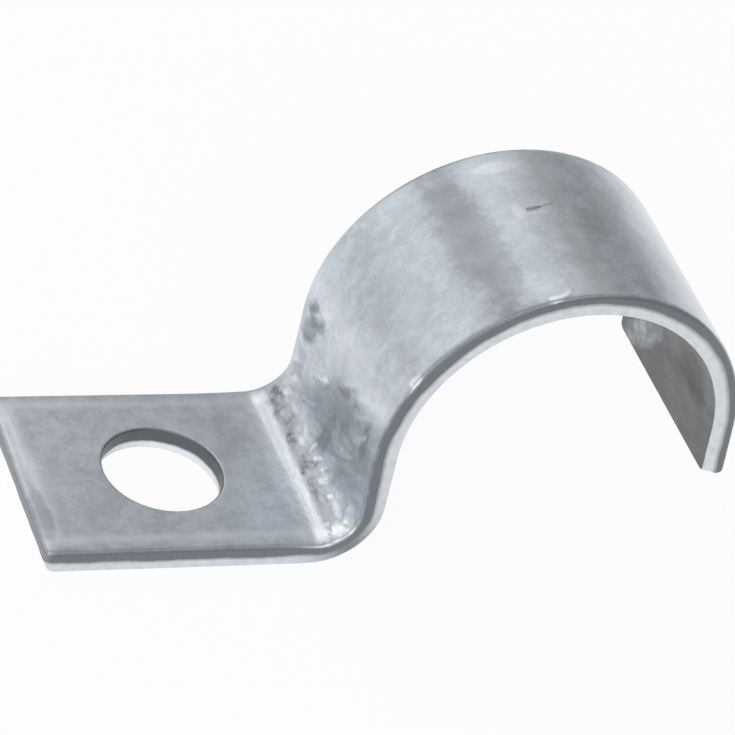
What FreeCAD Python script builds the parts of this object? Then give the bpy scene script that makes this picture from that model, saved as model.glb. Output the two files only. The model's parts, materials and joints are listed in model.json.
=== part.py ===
import FreeCAD
import Part
import Sketcher
import math
import os

# One-hole strap for rigid conduit, folded from one blanked strip of galvanised steel.
# Frame: the origin is the centre of the fixing hole, halfway through the foot, +X runs from
# the hole to the conduit, +Y along the conduit, +Z away from the wall.

# Driving sizes: lengths in millimetres, angles in degrees
SIZES = (
    ("conduit_diameter", 21.3, "outside of the conduit that the arch holds"),
    ("seat_clearance", 0.05, "gap all round between the conduit and the arch"),
    ("grip_squeeze", 1.4, "drop of the arch centre below a free conduit, taken up by the screw"),
    ("stock_thickness", 1.6, "thickness of the galvanised strip"),
    ("strap_width", 15.0, "width of the strip, along the conduit"),
    ("hole_diameter", 7.8, "punched fixing hole"),
    ("hole_to_end", 9.7, "fixing hole centre to the free end of the foot"),
    ("hole_to_bend", 7.9, "fixing hole centre to the start of the bend"),
    ("bend_radius", 2.5, "inside radius of the bend between foot and neck"),
    ("neck_lean", 3.9, "lean of the neck back over the foot, from upright"),
    ("leg_flare", 6.8, "outward flare of the leg, the lead-in for the conduit"),
    ("leg_length", 4.1, "straight run of the leg below the arch"),
    ("shear_roll", 0.3, "radius rolled over by the shears round the outer face"),
    ("hole_roll", 0.15, "radius rolled over by the punch at the mouth of the hole"),
    ("torn_band", 0.75, "height of the torn band round the outline, on the inner face"),
    ("side_break", 0.06, "slope of the torn band along the long sides"),
    ("hole_torn_band", 0.62, "height of the torn band inside the fixing hole"),
    ("hole_break", 0.08, "slope of the torn band inside the fixing hole"),
    ("end_break", 0.4, "slope of the torn band on the two cut ends"),
    ("corner_radius", 0.45, "plan radius of the four corners"),
)

SEAT_RADIUS = "(Sizes.conduit_diameter / 2 + Sizes.seat_clearance)"
HALF_STOCK = "Sizes.stock_thickness / 2"
SEAT_HEIGHT = f"({SEAT_RADIUS} - Sizes.grip_squeeze - {HALF_STOCK})"
NEAR = 1e-4


def make_sheet(doc):
    """Write the driving sizes into the sheet: name, number and note."""
    sheet = doc.addObject("Spreadsheet::Sheet", "Sizes")
    for row, (alias, value, note) in enumerate(SIZES, start=1):
        sheet.set(f"A{row}", alias)
        sheet.set(f"B{row}", str(value))
        sheet.setAlias(f"B{row}", alias)
        sheet.set(f"C{row}", note)
    doc.recompute()
    return sheet


def origin_plane(body, role):
    """Find one of the body's own base planes."""
    for feature in body.Origin.OriginFeatures:
        if feature.Role == role:
            return feature
    raise RuntimeError(f"the body has no plane {role}")


def attached_sketch(body, name, role):
    """Start a sketch lying on one of the body's base planes."""
    sketch = body.newObject("Sketcher::SketchObject", name)
    sketch.AttachmentSupport = [(origin_plane(body, role), "")]
    sketch.MapMode = "FlatFace"
    return sketch


def heading(degrees):
    """Unit vector in the sketch at an angle from its first axis."""
    angle = math.radians(degrees)
    return FreeCAD.Vector(math.cos(angle), math.sin(angle), 0)


def line(start, end):
    return Part.LineSegment(start, end)


def arc(centre, radius, first, last):
    """Arc from the first angle to the last, anticlockwise, in degrees."""
    circle = Part.Circle(centre, FreeCAD.Vector(0, 0, 1), radius)
    return Part.ArcOfCircle(circle, math.radians(first), math.radians(last))


def side_profile_curves(sheet):
    """Curves of the folded strip seen from the side, by name."""
    thick = sheet.stock_thickness
    torn = sheet.torn_band
    end_break = sheet.end_break
    seat = sheet.conduit_diameter / 2 + sheet.seat_clearance
    inner_bend = sheet.bend_radius
    outer_bend = inner_bend + thick
    neck = 90 + sheet.neck_lean
    leg = 90 + sheet.leg_flare
    wall = -thick / 2

    bend_centre = FreeCAD.Vector(sheet.hole_to_bend, wall + outer_bend, 0)
    bend_normal = heading(neck - 90)
    neck_start = bend_centre + bend_normal * outer_bend
    neck_face = bend_centre + bend_normal * inner_bend
    seat_height = wall + seat - sheet.grip_squeeze
    neck_rise = seat_height + (bend_normal * -seat).y - neck_start.y
    neck_run = heading(neck) * (neck_rise / heading(neck).y)
    neck_end = neck_start + neck_run
    seat_centre = neck_end + bend_normal * seat

    leg_normal = heading(leg - 90)
    leg_inner_top = seat_centre + leg_normal * seat
    leg_outer_top = seat_centre + leg_normal * (seat + thick)
    leg_drop = heading(leg) * -sheet.leg_length
    tip_inner = leg_inner_top + leg_drop + heading(leg) * end_break
    tip_mid = leg_inner_top + leg_drop + leg_normal * torn
    tip_outer = leg_outer_top + leg_drop

    foot_end = -sheet.hole_to_end
    foot_bottom = FreeCAD.Vector(foot_end + end_break, wall, 0)
    foot_mid = FreeCAD.Vector(foot_end, wall + torn, 0)
    foot_top = FreeCAD.Vector(foot_end, wall + thick, 0)
    return {
        "foot_under": line(foot_bottom, FreeCAD.Vector(sheet.hole_to_bend, wall, 0)),
        "bend_outer": arc(bend_centre, outer_bend, -90, neck - 90),
        "neck_inner": line(neck_start, neck_end),
        "arch_inner": arc(seat_centre, seat, leg - 90, neck + 90),
        "leg_inner": line(tip_inner, leg_inner_top),
        "tip_torn": line(tip_mid, tip_inner),
        "tip_cut": line(tip_outer, tip_mid),
        "leg_outer": line(tip_outer, leg_outer_top),
        "arch_outer": arc(seat_centre, seat + thick, leg - 90, neck + 90),
        "neck_outer": line(neck_face, neck_face + neck_run),
        "bend_inner": arc(bend_centre, inner_bend, -90, neck - 90),
        "foot_top": line(FreeCAD.Vector(sheet.hole_to_bend, wall + thick, 0), foot_top),
        "foot_cut": line(foot_top, foot_mid),
        "foot_torn": line(foot_mid, foot_bottom),
    }


# Parts of the profile, and the places on a curve that a constraint can name
INNER_FACE = ("foot_under", "bend_outer", "neck_inner", "arch_inner", "leg_inner")
OUTER_FACE = ("leg_outer", "arch_outer", "neck_outer", "bend_inner", "foot_top")
CUT_ENDS = ("tip_cut", "tip_torn", "foot_cut", "foot_torn")
START = 1
END = 2
CENTRE = 3
ORIGIN = -1


def draw_side_profile(body, sheet):
    """Draw the side profile and tie it to the sheet, with no freedom left."""
    sketch = attached_sketch(body, "side_profile", "XZ_Plane")
    place = {}
    for name, curve in side_profile_curves(sheet).items():
        place[name] = sketch.addGeometry(curve, False)

    def rule(kind, *arguments, bound=None, name=None):
        """Add one constraint, and bind its value to the sheet."""
        number = sketch.addConstraint(Sketcher.Constraint(kind, *arguments))
        if bound:
            sketch.renameConstraint(number, name)
            sketch.setExpression(f"Constraints.{name}", bound)

    smooth_joints = (
        ("foot_under", END, "bend_outer", START),
        ("bend_outer", END, "neck_inner", START),
        ("neck_inner", END, "arch_inner", END),
        ("leg_inner", END, "arch_inner", START),
        ("leg_outer", END, "arch_outer", START),
        ("neck_outer", END, "arch_outer", END),
        ("bend_inner", END, "neck_outer", START),
        ("foot_top", START, "bend_inner", START),
    )
    for first, first_end, second, second_end in smooth_joints:
        rule("Tangent", place[first], first_end, place[second], second_end)
    corners = (
        ("leg_inner", START, "tip_torn", END),
        ("tip_torn", START, "tip_cut", END),
        ("tip_cut", START, "leg_outer", START),
        ("foot_top", END, "foot_cut", START),
        ("foot_cut", END, "foot_torn", START),
        ("foot_torn", END, "foot_under", START),
    )
    for first, first_end, second, second_end in corners:
        rule("Coincident", place[first], first_end, place[second], second_end)

    rule("Horizontal", place["foot_under"])
    rule("Horizontal", place["foot_top"])
    rule("Vertical", place["foot_cut"])
    rule("Coincident", place["bend_outer"], CENTRE, place["bend_inner"], CENTRE)
    rule("Coincident", place["arch_outer"], CENTRE, place["arch_inner"], CENTRE)
    rule("Parallel", place["neck_inner"], place["neck_outer"])
    rule("Parallel", place["leg_inner"], place["leg_outer"])
    rule("Perpendicular", place["tip_cut"], place["leg_outer"])

    seat = side_profile_curves(sheet)["arch_inner"]
    rule("DistanceX", place["foot_cut"], START, ORIGIN, START, sheet.hole_to_end,
         name="hole_to_end", bound="Sizes.hole_to_end")
    rule("DistanceX", ORIGIN, START, place["bend_outer"], START, sheet.hole_to_bend,
         name="hole_to_bend", bound="Sizes.hole_to_bend")
    rule("DistanceY", place["foot_torn"], END, ORIGIN, START, sheet.stock_thickness / 2,
         name="wall_face", bound=HALF_STOCK)
    rule("DistanceX", place["foot_torn"], START, place["foot_torn"], END, sheet.end_break,
         name="foot_break", bound="Sizes.end_break")
    rule("DistanceY", place["foot_torn"], END, place["foot_torn"], START, sheet.torn_band,
         name="foot_torn_band", bound="Sizes.torn_band")
    rule("DistanceY", place["foot_torn"], END, place["foot_cut"], START, sheet.stock_thickness,
         name="stock_thickness", bound="Sizes.stock_thickness")
    rule("Radius", place["bend_inner"], sheet.bend_radius,
         name="bend_radius", bound="Sizes.bend_radius")
    rule("Angle", place["neck_inner"], math.radians(90 + sheet.neck_lean),
         name="neck_angle", bound="90 + Sizes.neck_lean")
    rule("Radius", place["arch_inner"], seat.Radius,
         name="seat_radius", bound=SEAT_RADIUS)
    rule("DistanceY", ORIGIN, START, place["arch_inner"], CENTRE, seat.Center.y,
         name="seat_height", bound=SEAT_HEIGHT)
    rule("Angle", place["leg_outer"], math.radians(90 + sheet.leg_flare),
         name="leg_angle", bound="90 + Sizes.leg_flare")
    rule("Distance", place["leg_outer"], sheet.leg_length,
         name="leg_length", bound="Sizes.leg_length")
    rule("Distance", place["tip_torn"], START, place["leg_inner"], sheet.torn_band,
         name="tip_torn_band", bound="Sizes.torn_band")
    rule("Distance", place["leg_inner"], sheet.leg_length - sheet.end_break,
         name="leg_inner_length", bound="Sizes.leg_length - Sizes.end_break")
    return sketch


def recompute_checked(doc):
    """Recompute, and stop at the first object that failed."""
    doc.recompute()
    for item in doc.Objects:
        if "Invalid" in item.State or "Error" in item.State:
            raise RuntimeError(f"{item.Name} failed: {item.State}")


def profile_curves(sketch, names):
    """The named curves of the side profile as shapes, in the part's frame."""
    order = list(side_profile_curves(sketch.Document.Sizes))
    shapes = []
    for name in names:
        shape = sketch.Geometry[order.index(name)].toShape()
        shape.Placement = sketch.Placement
        shapes.append(shape)
    return shapes


def points_along(edge):
    """Three points spread along an edge."""
    span = edge.LastParameter - edge.FirstParameter
    return [edge.valueAt(edge.FirstParameter + part * span) for part in (0.1, 0.5, 0.9)]


def follows(edge, curves):
    """True if the edge, seen from the side, stays on the curves of the profile."""
    for point in points_along(edge):
        spot = Part.Vertex(FreeCAD.Vector(point.x, 0, point.z))
        if min(curve.distToShape(spot)[0] for curve in curves) > NEAR:
            return False
    return True


def keeps_out(edge, distance):
    """True if the edge stays at least this far from the middle plane of the strip."""
    return all(abs(point.y) > distance - NEAR for point in points_along(edge))


def rings_hole(edge, height):
    """True if the edge is the round edge of the fixing hole at this height."""
    if not isinstance(edge.Curve, Part.Circle):
        return False
    centre = edge.Curve.Center
    return math.hypot(centre.x, centre.y) < NEAR and abs(centre.z - height) < NEAR


def edges_where(feature, wanted):
    """Names of the feature's edges that pass the test."""
    names = [f"Edge{number}" for number, edge in enumerate(feature.Shape.Edges, start=1)
             if wanted(edge)]
    if not names:
        raise RuntimeError(f"no edge of {feature.Name} fits")
    return names


def fold_strip(body, profile):
    """Side profile drawn out to the strip's width."""
    fold = body.newObject("PartDesign::Pad", "folded_strip")
    fold.Profile = profile
    fold.SideType = "Symmetric"
    fold.setExpression("Length", "Sizes.strap_width")
    recompute_checked(body.Document)
    return fold


def punch_hole(body, before, sheet):
    """Fixing hole straight through the foot, from its middle plane both ways."""
    outline = attached_sketch(body, "hole_outline", "XY_Plane")
    radius = sheet.hole_diameter / 2
    outline.addGeometry(Part.Circle(FreeCAD.Vector(), FreeCAD.Vector(0, 0, 1), radius), False)
    outline.addConstraint(Sketcher.Constraint("Coincident", 0, CENTRE, ORIGIN, START))
    number = outline.addConstraint(Sketcher.Constraint("Diameter", 0, sheet.hole_diameter))
    outline.renameConstraint(number, "hole_diameter")
    outline.setExpression("Constraints.hole_diameter", "Sizes.hole_diameter")
    hole = body.newObject("PartDesign::Pocket", "fixing_hole")
    hole.Profile = outline
    hole.SideType = "Symmetric"
    hole.setExpression("Length", "Sizes.stock_thickness")
    recompute_checked(body.Document)
    slug = math.pi * radius ** 2 * sheet.stock_thickness
    if abs(before.Shape.Volume - hole.Shape.Volume - slug) > NEAR * slug:
        raise RuntimeError("the fixing hole isn't cut right through")
    return hole


def tear_edges(body, before, name, edges, inset, height):
    """Slope the torn band of a cut edge inwards, by the inset at the inner face."""
    band = body.newObject("PartDesign::Chamfer", name)
    band.Base = (before, edges)
    band.ChamferType = "Two distances"
    band.setExpression("Size", inset)
    band.setExpression("Size2", height)
    recompute_checked(body.Document)
    return band


def round_edges(body, before, name, edges, radius):
    """Round the named edges."""
    fillet = body.newObject("PartDesign::Fillet", name)
    fillet.Base = (before, edges)
    fillet.setExpression("Radius", radius)
    recompute_checked(body.Document)
    return fillet


def check_torn_slopes(feature, sheet):
    """The slopes run the right way round if the flat underside is as wide as it should be."""
    wall = -sheet.stock_thickness / 2
    under = [vertex for vertex in feature.Shape.Vertexes if abs(vertex.Z - wall) < NEAR]
    half_width = max(vertex.Y for vertex in under)
    if abs(half_width - (sheet.strap_width / 2 - sheet.side_break)) > NEAR:
        raise RuntimeError("the torn band slopes the wrong way")


def make_strap(doc, sheet):
    """Fold the strip, punch the hole, then give every cut edge its sheared section."""
    body = doc.addObject("PartDesign::Body", "strap")
    body.Label = "strap"
    profile = draw_side_profile(body, sheet)
    recompute_checked(doc)
    inner_face = profile_curves(profile, INNER_FACE)
    outer_face = profile_curves(profile, OUTER_FACE)
    cut_ends = profile_curves(profile, CUT_ENDS)
    half_width = sheet.strap_width / 2

    fold = fold_strip(body, profile)
    punched = punch_hole(body, fold, sheet)

    long_edges = edges_where(punched, lambda edge: (
        follows(edge, inner_face) and keeps_out(edge, half_width)))
    sides = tear_edges(body, punched, "torn_sides", long_edges,
                       inset="Sizes.side_break", height="Sizes.torn_band")
    check_torn_slopes(sides, sheet)
    under_rim = edges_where(sides, lambda edge: rings_hole(edge, -sheet.stock_thickness / 2))
    torn = tear_edges(body, sides, "torn_hole", under_rim,
                      inset="Sizes.hole_break", height="Sizes.hole_torn_band")

    corner_edges = edges_where(torn, lambda edge: (
        follows(edge, cut_ends) and keeps_out(edge, half_width - sheet.side_break)))
    cornered = round_edges(body, torn, "corners", corner_edges, "Sizes.corner_radius")

    outline = edges_where(cornered, lambda edge: (
        follows(edge, outer_face)
        and (follows(edge, cut_ends) or keeps_out(edge, half_width - sheet.corner_radius))))
    rolled = round_edges(body, cornered, "rolled_outline", outline, "Sizes.shear_roll")
    mouth = edges_where(rolled, lambda edge: rings_hole(edge, sheet.stock_thickness / 2))
    round_edges(body, rolled, "rolled_hole", mouth, "Sizes.hole_roll")

    body.Placement = FreeCAD.Placement()
    recompute_checked(doc)
    return body


def write_part(bodies):
    """Check each body, then write it to its own file."""
    os.makedirs("parts", exist_ok=True)
    for body in bodies:
        if body.Shape.isNull() or not body.Shape.isValid():
            raise RuntimeError(f"{body.Label} has no sound shape")
    for body in bodies:
        body.Shape.exportStep(f"parts/{body.Label}.step")


document = FreeCAD.newDocument("conduit_strap")
strap = make_strap(document, make_sheet(document))
write_part([strap])
print(f"{strap.Label}: {len(strap.Shape.Solids)} solid, {strap.Shape.Volume:.1f} mm3")
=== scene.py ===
"""A one-hole conduit strap of galvanised steel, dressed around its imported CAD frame.

The strap is made as the workshop makes it: a flat blank with sheared edges and a punched
hole, pressed and scuffed by the tool, and then folded along its middle fibre. Places on the
blank are in millimetres: s along the strip from the hole, y across it, n from the middle of
the stock towards the outer face.
"""

import json
import math

import bmesh
import bpy
import numpy as np
from mathutils import Euler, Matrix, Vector


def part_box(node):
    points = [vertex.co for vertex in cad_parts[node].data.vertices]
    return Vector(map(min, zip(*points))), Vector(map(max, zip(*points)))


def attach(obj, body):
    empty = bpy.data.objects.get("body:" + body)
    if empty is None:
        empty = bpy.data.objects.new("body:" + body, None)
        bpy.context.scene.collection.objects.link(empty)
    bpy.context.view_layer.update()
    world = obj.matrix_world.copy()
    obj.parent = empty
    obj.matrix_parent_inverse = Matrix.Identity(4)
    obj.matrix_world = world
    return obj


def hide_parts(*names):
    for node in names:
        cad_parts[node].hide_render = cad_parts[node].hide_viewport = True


bl_info = {
    "name": "Conduit strap",
    "version": (1, 0, 0),
    "blender": (4, 5, 0),
    "location": "3D View > Sidebar > Strap",
    "description": "Builds a folded conduit strap and a plain studio around its CAD frame",
    "category": "Object",
}

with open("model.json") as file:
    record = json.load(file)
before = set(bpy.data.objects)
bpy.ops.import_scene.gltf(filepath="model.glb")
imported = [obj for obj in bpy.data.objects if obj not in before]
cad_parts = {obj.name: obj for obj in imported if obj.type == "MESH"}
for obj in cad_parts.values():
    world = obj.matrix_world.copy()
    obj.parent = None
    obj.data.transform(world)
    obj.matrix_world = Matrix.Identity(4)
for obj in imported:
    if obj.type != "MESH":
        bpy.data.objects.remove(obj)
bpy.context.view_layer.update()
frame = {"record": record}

MM = 0.001
STRAP_NODE = "strap"
STRAP_BODY = "root"

strap_low, strap_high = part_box(STRAP_NODE)
mounts = {mount["name"]: mount for mount in frame["record"]["mounts"]}
hole_mount = mounts["fixing_hole"]
seat_mount = mounts["conduit_seat"]

STRAP_MIDDLE = (strap_low + strap_high) / 2
FLOOR_HALF_SIDE = 2.0
FLOOR_SQUARES = 8
SENSOR_WIDTH = 36.0
NEAREST_SEEN = 0.01
FURTHEST_SEEN = 20

# Softboxes: direction from the strap, distance, width and height in metres, light setting
SOFTBOXES = (
    ("left_softbox", (-0.62, 0.69, 0.35), 0.8, 0.55, 0.5, "back_light"),
    ("back_softbox", (0.02, 0.69, 0.72), 0.8, 0.36, 0.5, "back_light"),
    ("right_softbox", (0.75, 0.66, 0.06), 0.8, 0.8, 0.2, "right_light"),
    ("front_softbox", (-0.5, -0.68, 0.55), 1.0, 1.8, 1.5, "front_light"),
)


def length_setting(name, description, default, **limits):
    """Setting for a length, in metres."""
    return bpy.props.FloatProperty(name=name, description=description, default=default,
                                   precision=5, unit="LENGTH", **limits)


def angle_setting(name, description, degrees):
    """Setting for an angle."""
    return bpy.props.FloatProperty(name=name, description=description,
                                   default=math.radians(degrees), subtype="ANGLE",
                                   unit="ROTATION")


def colour_setting(name, description, default):
    """Setting for a colour."""
    return bpy.props.FloatVectorProperty(name=name, description=description, default=default,
                                         size=3, min=0, max=1, subtype="COLOR")


def light_setting(name, description, default):
    """Setting for a brightness, where 1 is white."""
    return bpy.props.FloatProperty(name=name, description=description, default=default, min=0)


class StrapSizes(bpy.types.PropertyGroup):
    """Lengths and angles of the folded strip."""

    stock: length_setting("Stock", "Thickness of the strip", -2 * strap_low.z, min=0.0005)
    width: length_setting("Width", "Width of the strip", strap_high.y - strap_low.y, min=0.012)
    hole_to_end: length_setting(
        "Hole to end", "Fixing hole centre to the free end of the foot", -strap_low.x, min=0.008)
    hole_radius: length_setting(
        "Hole radius", "Radius of the punched fixing hole", hole_mount["dims"]["r_mm"] * MM,
        min=0.001, max=0.005)
    seat_radius: length_setting(
        "Seat radius", "Inside radius of the arch", seat_mount["dims"]["r_mm"] * MM, min=0.005)
    seat_run: length_setting(
        "Seat run", "Fixing hole centre to the arch centre, along the foot",
        seat_mount["pos_m"][0])
    seat_height: length_setting(
        "Seat height", "Middle of the foot's stock up to the arch centre",
        seat_mount["pos_m"][2])
    bend_radius: length_setting(
        "Bend radius", "Inside radius of the bend between foot and neck", 0.0025, min=0.001)
    leg_length: length_setting(
        "Leg", "Straight run of the leg below the arch", 0.0041, min=0.001)
    neck_lean: angle_setting("Neck lean", "Lean of the neck back over the foot", 3.9)
    leg_flare: angle_setting("Leg flare", "Outward flare of the leg", 6.8)
    bulge: length_setting(
        "Bend bulge", "How far the crushed inside of the bend swells sideways", 0.0003, min=0)


class ZincFinish(bpy.types.PropertyGroup):
    """Colours of the zinc and of the sheared steel edge."""

    zinc: colour_setting("Zinc", "Satin zinc of the faces", (0.585, 0.635, 0.685))
    # Also the colour of painted sheen: highlight bands, bright bands across the strap and glints
    wear_and_sheen: colour_setting(
        "Worn zinc", "Zinc polished by the tool and along the edges", (0.85, 0.89, 0.93))
    galled: colour_setting(
        "Galled zinc", "Zinc dragged dark by the tool on the neck", (0.335, 0.352, 0.365))
    # Also the colour of a band of painted shade beyond the crest
    stain_and_shade: colour_setting(
        "Stained zinc", "Dull zinc of the cloudy stains on the arch", (0.33, 0.36, 0.39))
    tarnish: colour_setting(
        "Tarnish", "Dark streaks where the neck meets the arch", (0.2, 0.24, 0.28))
    broken: colour_setting(
        "Broken zinc", "Bottom of the pits and of the scuff", (0.2, 0.213, 0.225))
    # Duller zinc darkened further as painted shade, for the shade under the arch
    inner: colour_setting(
        "Inner face", "Duller zinc of the inner face", (0.14, 0.148, 0.155))
    burnish: colour_setting(
        "Burnished band", "Smooth sheared steel of the cut edges", (0.19, 0.2, 0.22))
    torn: colour_setting(
        "Torn band", "Bright torn steel of the cut edges", (0.85, 0.89, 0.93))
    # Painted light: whiter than the torn band outside, for light reaching the hole's wall
    hole_torn_lit: colour_setting(
        "Torn band of the hole", "Clean torn steel in the fixing hole", (0.96, 0.98, 1))


class StudioSetup(bpy.types.PropertyGroup):
    """Camera, lamps and floor."""

    camera_place: bpy.props.FloatVectorProperty(
        name="Camera", description="Place of the camera",
        default=(-0.0919964, -0.1862808, 0.1665279), size=3, subtype="TRANSLATION")
    camera_turn: bpy.props.FloatVectorProperty(
        name="Camera turn", description="Tilt, bank and turn of the camera",
        default=(0.8738803, -0.3877088, -0.0193558), size=3, subtype="EULER")
    lens: bpy.props.FloatProperty(
        name="Lens", description="Focal length for a 36 mm wide picture", default=206.24)
    floor_colour: colour_setting("Floor", "Pale paper floor", (0.95, 0.95, 0.95))
    sky_strength: light_setting("Room", "Even light of the white room", 0.38)
    back_light: light_setting(
        "Back light", "Brightness of each softbox behind the strap", 0.9)
    right_light: light_setting(
        "Right light", "Brightness of the low softbox beyond the leg", 0.6)
    front_light: light_setting(
        "Front light", "Brightness of the softbox above the camera", 1.15)


# Seeds of the surface's noises
WEAR_SEEDS = (23, 29)
PIT_SEED = 31
RELIEF_SEEDS = (3, 5, 7)
UNDERSIDE_SEED = 11
WALL_SEEDS = (17, 19)

# Section of the cut edges, in millimetres on the blank
ROLL_WIDTH = 1.3
ROLL_LEAN = 0.05
ROLL_FALLOFF = 1.6
ROLL_RADIUS = 0.3
MOUTH_WIDTH = 0.3
MOUTH_LEAN = 0.01
MOUTH_RADIUS = 0.15
BURR_RADIUS = 0.04
CORNER_RADIUS = 0.45
END_INSET = 0.4
SIDE_INSET = 0.06
HOLE_INSET = 0.08
INSET_REACH = 3.0

# How the edges look: reaches and fades in millimetres from the edge, and shares, among them
# painted shade on the rolled rims, a painted highlight band in from the edges and a lighter torn
# band in the hole
# Painted shade: reach and fade of the dark burnished colour over the rolled rims
ROLL_SHADE_REACH = (0, 0.24)
RIM_SHADE_FADE = (0.02, 0.13)
BURR_FADE = (0, 0.09)
# Painted highlight: line and reach of a light band in from the edges
EDGE_SHEEN_LINE = 1.15
EDGE_SHEEN_REACH = 0.5
HOLE_BURNISH_SHARE = 0.6
TORN_PALE = 0.84
# Painted light: the hole's torn band takes the full torn colour
HOLE_TORN_PALE = 1.0
BEND_DULL_PLACE = (10.3, 1.8)
BEND_DULLING = 0.9

# Grid of the blank: numbers of rows, and steps and zones in millimetres
TURN_ROWS = 7
FLAT_ROWS = 6
RING_ROWS = 9
HOLE_WINDOW = 5.9
FOOT_STEP = 0.22
ACROSS_STEP = 0.17
NECK_STEP = 0.12
ARCH_STEP = 0.3
NECK_ZONE = (7.2, 19.0)

# Fold: steps and reaches in millimetres, and how the swelling grows through the stock
FIBRE_STEP = 0.02
BEND_BLEND = 0.5
BULGE_REACH = 3.7
BULGE_AT_MIDDLE = 0.4
BULGE_THROUGH = 1.2

# Rows of the sheared wall, as shares of each band's height, and its unevenness in millimetres
BURNISH_ROWS = (0.04, 0.3, 0.6, 0.85, 1)
TORN_ROWS = (0, 0.08, 0.2, 0.34, 0.48, 0.62, 0.76, 0.9)
BORDER_GAP = 0.012
BORDER_WAVES = ((0.045, 1.3), (0.02, 0.35))
TORN_FIRST_INSET = 0.16
TORN_ROUGHNESS = 0.014
TORN_GRAIN = 0.22
TORN_LUMPS = 0.5
TORN_SQUEEZE = 3

# Where the painted shade on the rolled rim reaches further in: how far, its middle, and its
# reach along the strip
WIDE_ROLL_SHADES = ((0.1, 28.5, 4.5), (0.05, 18, 4))

# Share of the cut edge that is burnished, at places along the strip in millimetres, and the
# shifts that it is averaged over
BURNISH_SHARES = (
    (-10, 0.5), (-6, 0.52), (5, 0.54), (7.5, 0.43), (11, 0.45), (15, 0.5), (17, 0.42),
    (20, 0.47), (25, 0.56), (28.5, 0.45), (31, 0.46), (34, 0.34), (38, 0.45), (41, 0.5),
    (45, 0.41), (58, 0.38),
)
SHARE_SHIFTS = (-1, -0.4, 0.4, 1)

# Way that the tool dragged up the neck, along and across the blank
DRAG = (0.53, -0.85)

# Where the tool worked the neck, in millimetres: each pair is where a soft edge starts and
# ends, along the blank unless its name says side
RIDGE_EDGES = ((8.4, 8.85), (9.2, 9.5))
RIDGE_SIDES = ((-6.4, -5.6), (5.4, 6.2))
# Painted sheen on the foot just before the bend, for the light that the bend reflects
APPROACH_SHEEN_EDGES = ((6.7, 7.9), (9.2, 9.6))
PATCH_START = (11.0, 12.8)
PATCH_TOP = 18.0
PATCH_SLOPE = 0.135
PATCH_SIDE = (-7.4, -6.4)
DULLED_EDGES = ((9.7, 10.2), (10.7, 11.5))
STREAKED_EDGES = ((12, 14), (19, 22))
CRUSHED_EDGES = ((9.8, 10.5), (11.6, 12.6))
DRAGGED_EDGES = ((11.8, 13), (18.0, 20.5))
RIDGE_LINE = 8.95
RIDGE_REACH = 0.38
GROOVE_OFFSET = 1.0
GROOVE_REACH = 0.45

# Heights and depths of the relief, in millimetres
RIDGE_WANDER = 0.04
RIDGE_HEIGHT = 0.024
GROOVE_DEPTH = 0.02
PIT_DEPTH = 0.06
CRUSHED_HEIGHT = 0.04
DRAG_HEIGHT = 0.012
SCRAPED_HEIGHT = 0.03
GALLED_DEPTH = 0.035
BRUISE_DEPTH = 0.02
SCRAPE_DEPTH = 0.01
FACE_WAVES = ((0.014, 3.2), (0.006, 1.3))
RELIEF_FADE = (0.1, 0.8)
UNDERSIDE_WAVE = 0.008
UNDERSIDE_WAVE_SIZE = 2.1

# Marks of the press tool on the blank, in millimetres: place along and across, half length,
# half width, turn in degrees, strength
MARK_EDGE = (0.25, 1.6)
GALLED_MARKS = (
    (9.9, -6.3, 0.6, 0.1, -60, 1.0),
    (12.0, 5.6, 0.9, 0.3, -50, 0.5),
    (12.6, 4.6, 0.9, 0.35, -50, 0.5),
    (13.6, 2.0, 1.3, 0.55, -45, 0.4),
    (13.9, -0.3, 2.7, 0.8, -8, 0.95),
    (15.9, -2.5, 1.1, 0.65, -20, 0.9),
    (13.0, -3.6, 1.3, 0.4, -55, 0.45),
    (15.2, -5.0, 1.0, 0.4, -50, 0.5),
    (17.1, -5.6, 1.7, 0.55, 0, 0.85),
    (14.0, 6.0, 1.8, 0.7, -20, 0.55),
    (16.2, -0.5, 1.0, 0.8, -30, 0.6),
    (17.8, -1.3, 1.0, 0.32, -70, 1.0),
    (18.2, -3.1, 1.0, 0.18, -82, 0.7),
)
SCRAPE_AND_GLINT_MARKS = (
    (16.1, 2.2, 1.3, 0.24, -58, 1.0),
    (14.3, -3.0, 1.4, 0.24, -58, 0.6),
    (16.9, -4.9, 1.1, 0.22, -50, 0.65),
    (13.2, 3.2, 1.1, 0.18, -50, 0.4),
    (10.9, 1.6, 0.8, 0.8, 0, 0.5),
    (11.2, 5.8, 0.6, 0.4, 0, 0.5),
    (11.1, 0.2, 0.6, 0.14, 0, 0.7),
    (11.2, -0.7, 0.5, 0.2, -20, 0.75),
    (11.3, -1.7, 0.6, 0.14, -10, 0.8),
    (10.9, -2.5, 0.5, 0.25, -30, 0.6),
    (10.75, -4.1, 0.28, 0.26, 0, 1.0),
    (11.2, -5.0, 0.8, 0.9, 0, 0.5),
    (12.6, 5.9, 0.6, 0.35, -30, 0.5),
    (9.7, -5.9, 0.25, 0.22, 0, 1.0),
    (9.4, -6.8, 1.6, 0.5, 0, 0.9),
    (11.3, -6.6, 1.1, 0.6, 0, 0.9),
    # Painted glints on the near rolled rim of the arch
    (23.2, -7.3, 0.8, 0.18, 0, 1.2),
    (33.5, -7.12, 0.9, 0.17, 0, 0.85),
)
PITTED_MARKS = (
    (9.95, 6.0, 0.95, 0.75, 0, 1.1),
    (10.0, 4.8, 0.7, 1.1, 0, 0.65),
    (10.4, 3.4, 0.7, 0.5, 0, 0.85),
    (9.85, 1.8, 0.4, 1.1, 0, 0.95),
    (9.9, -0.4, 0.4, 0.9, 0, 1.0),
    (10.6, -0.9, 0.5, 0.3, 0, 0.6),
    (9.95, -2.7, 0.35, 1.1, 0, 0.65),
)

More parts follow.
